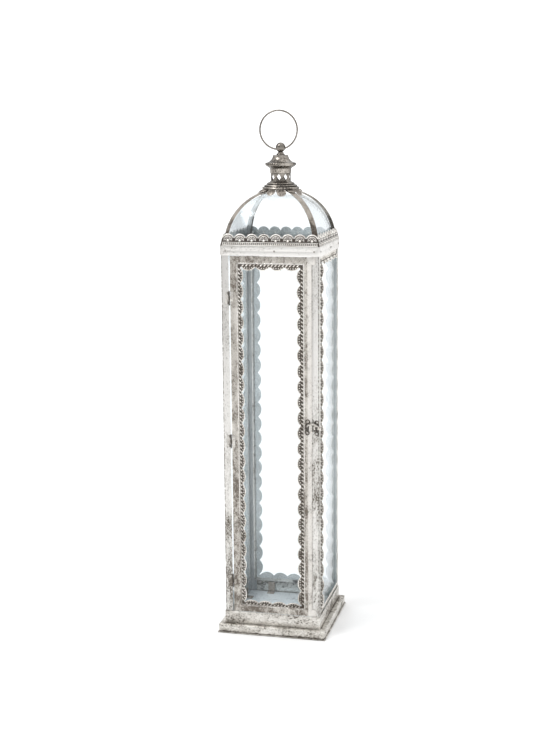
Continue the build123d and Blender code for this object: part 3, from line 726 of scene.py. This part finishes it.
dress(["glass_right", "glass_back", "glass_left", "door_glass"], window_glass)
dress(["dome_glass_" + side for side, _ in SIDES], dome_glass)
dress(["ring_handle"], ring_nickel)
dress(["ball_knob"], ball_nickel)
dress(["hinge_pins"], cast_silver)
dress(["band_rivets", "knob_screw"], rivet_steel)


# Floor, light and camera

FLOOR_RADIUS = 14.0
FLOOR_DROP = 0.0002         # a hair under the lantern's foot
DIM_SIDE = (-0.36, -0.90, 0.24)
GROUND_GLOW = 1.6
LENS = 64.86
CAMERA_PLACE = (0.5142, -2.1466, 0.8474)
CAMERA_TURN = (13.56, 10.71, -0.40)     # yaw, pitch and roll, in degrees


def lay_floor():
    """A wide, matt, pale floor."""
    disc = bmesh.new()
    bmesh.ops.create_circle(disc, cap_ends=True, segments=96, radius=FLOOR_RADIUS)
    mesh = bpy.data.meshes.new("studio_floor")
    disc.to_mesh(mesh)
    disc.free()
    f = Finish(bpy.data.materials.new("white_floor"))
    pale = f.node("BsdfPrincipled", {}, {"Base Color": rgb(0.93, 0.93, 0.93), "Roughness": 0.9})
    mesh.materials.append(f.close(pale))
    floor = bpy.data.objects.new("studio_floor", mesh)
    bpy.context.scene.collection.objects.link(floor)
    floor.location = (0, 0, -FLOOR_DROP)


def light_world():
    """Even white light, a little dimmer low down and much dimmer from the left front, on a white ground."""
    world = bpy.data.worlds.new("studio")
    bpy.context.scene.world = world
    f = Finish(world, "Generated")
    rise = f.along("Z").between(0.0, 0.9) * 0.11 + 0.86
    side = f.node("VectorMath", {"operation": "DOT_PRODUCT"}, {0: f.place, 1: DIM_SIDE}, out="Value")
    level = rise * (1 - side.between(0.86, 0.98) * 0.5)
    soft = f.node("Background", {}, {"Color": rgb(1, 1, 1), "Strength": level})
    white = f.node("Background", {}, {"Color": rgb(1, 1, 1), "Strength": GROUND_GLOW})
    seen = f.node("LightPath", out="Is Camera Ray")
    f.close(f.node("MixShader", {}, {0: seen, 1: soft, 2: white}), "OutputWorld")


def lamp(name, place, spread, power):
    """A sun lamp whose light has the same strength everywhere. It shines from its place to the origin."""
    data = bpy.data.lights.new(name, "SUN")
    data.angle = radians(spread)
    data.energy = power
    lit = bpy.data.objects.new(name, data)
    bpy.context.scene.collection.objects.link(lit)
    lit.location = place
    lit.rotation_mode = "QUATERNION"
    lit.rotation_quaternion = (-Vector(place)).to_track_quat("-Z", "Y")


def set_camera():
    """A long lens, level with the lantern's top and off to its right, that looks down at it."""
    yaw, pitch, roll = (radians(turn) for turn in CAMERA_TURN)
    look = Vector((-sin(yaw) * cos(pitch), cos(yaw) * cos(pitch), -sin(pitch)))
    right = Vector((cos(yaw), sin(yaw), 0))
    up = right.cross(look)
    across = cos(roll) * right + sin(roll) * up
    upward = cos(roll) * up - sin(roll) * right
    data = bpy.data.cameras.new("lens")
    data.sensor_width = 36
    data.lens = LENS
    camera = bpy.data.objects.new("camera", data)
    bpy.context.scene.collection.objects.link(camera)
    turned = Matrix((across, upward, -look)).transposed()
    camera.matrix_world = Matrix.Translation(CAMERA_PLACE) @ turned.to_4x4()
    bpy.context.scene.camera = camera


lay_floor()
light_world()
lamp("key_lamp", (-1.5, -1.3, 2.6), spread=28, power=1.1)
lamp("top_lamp", (0.3, 0.6, 3.0), spread=60, power=0.5)
set_camera()
bpy.context.scene.view_settings.view_transform = "Standard"
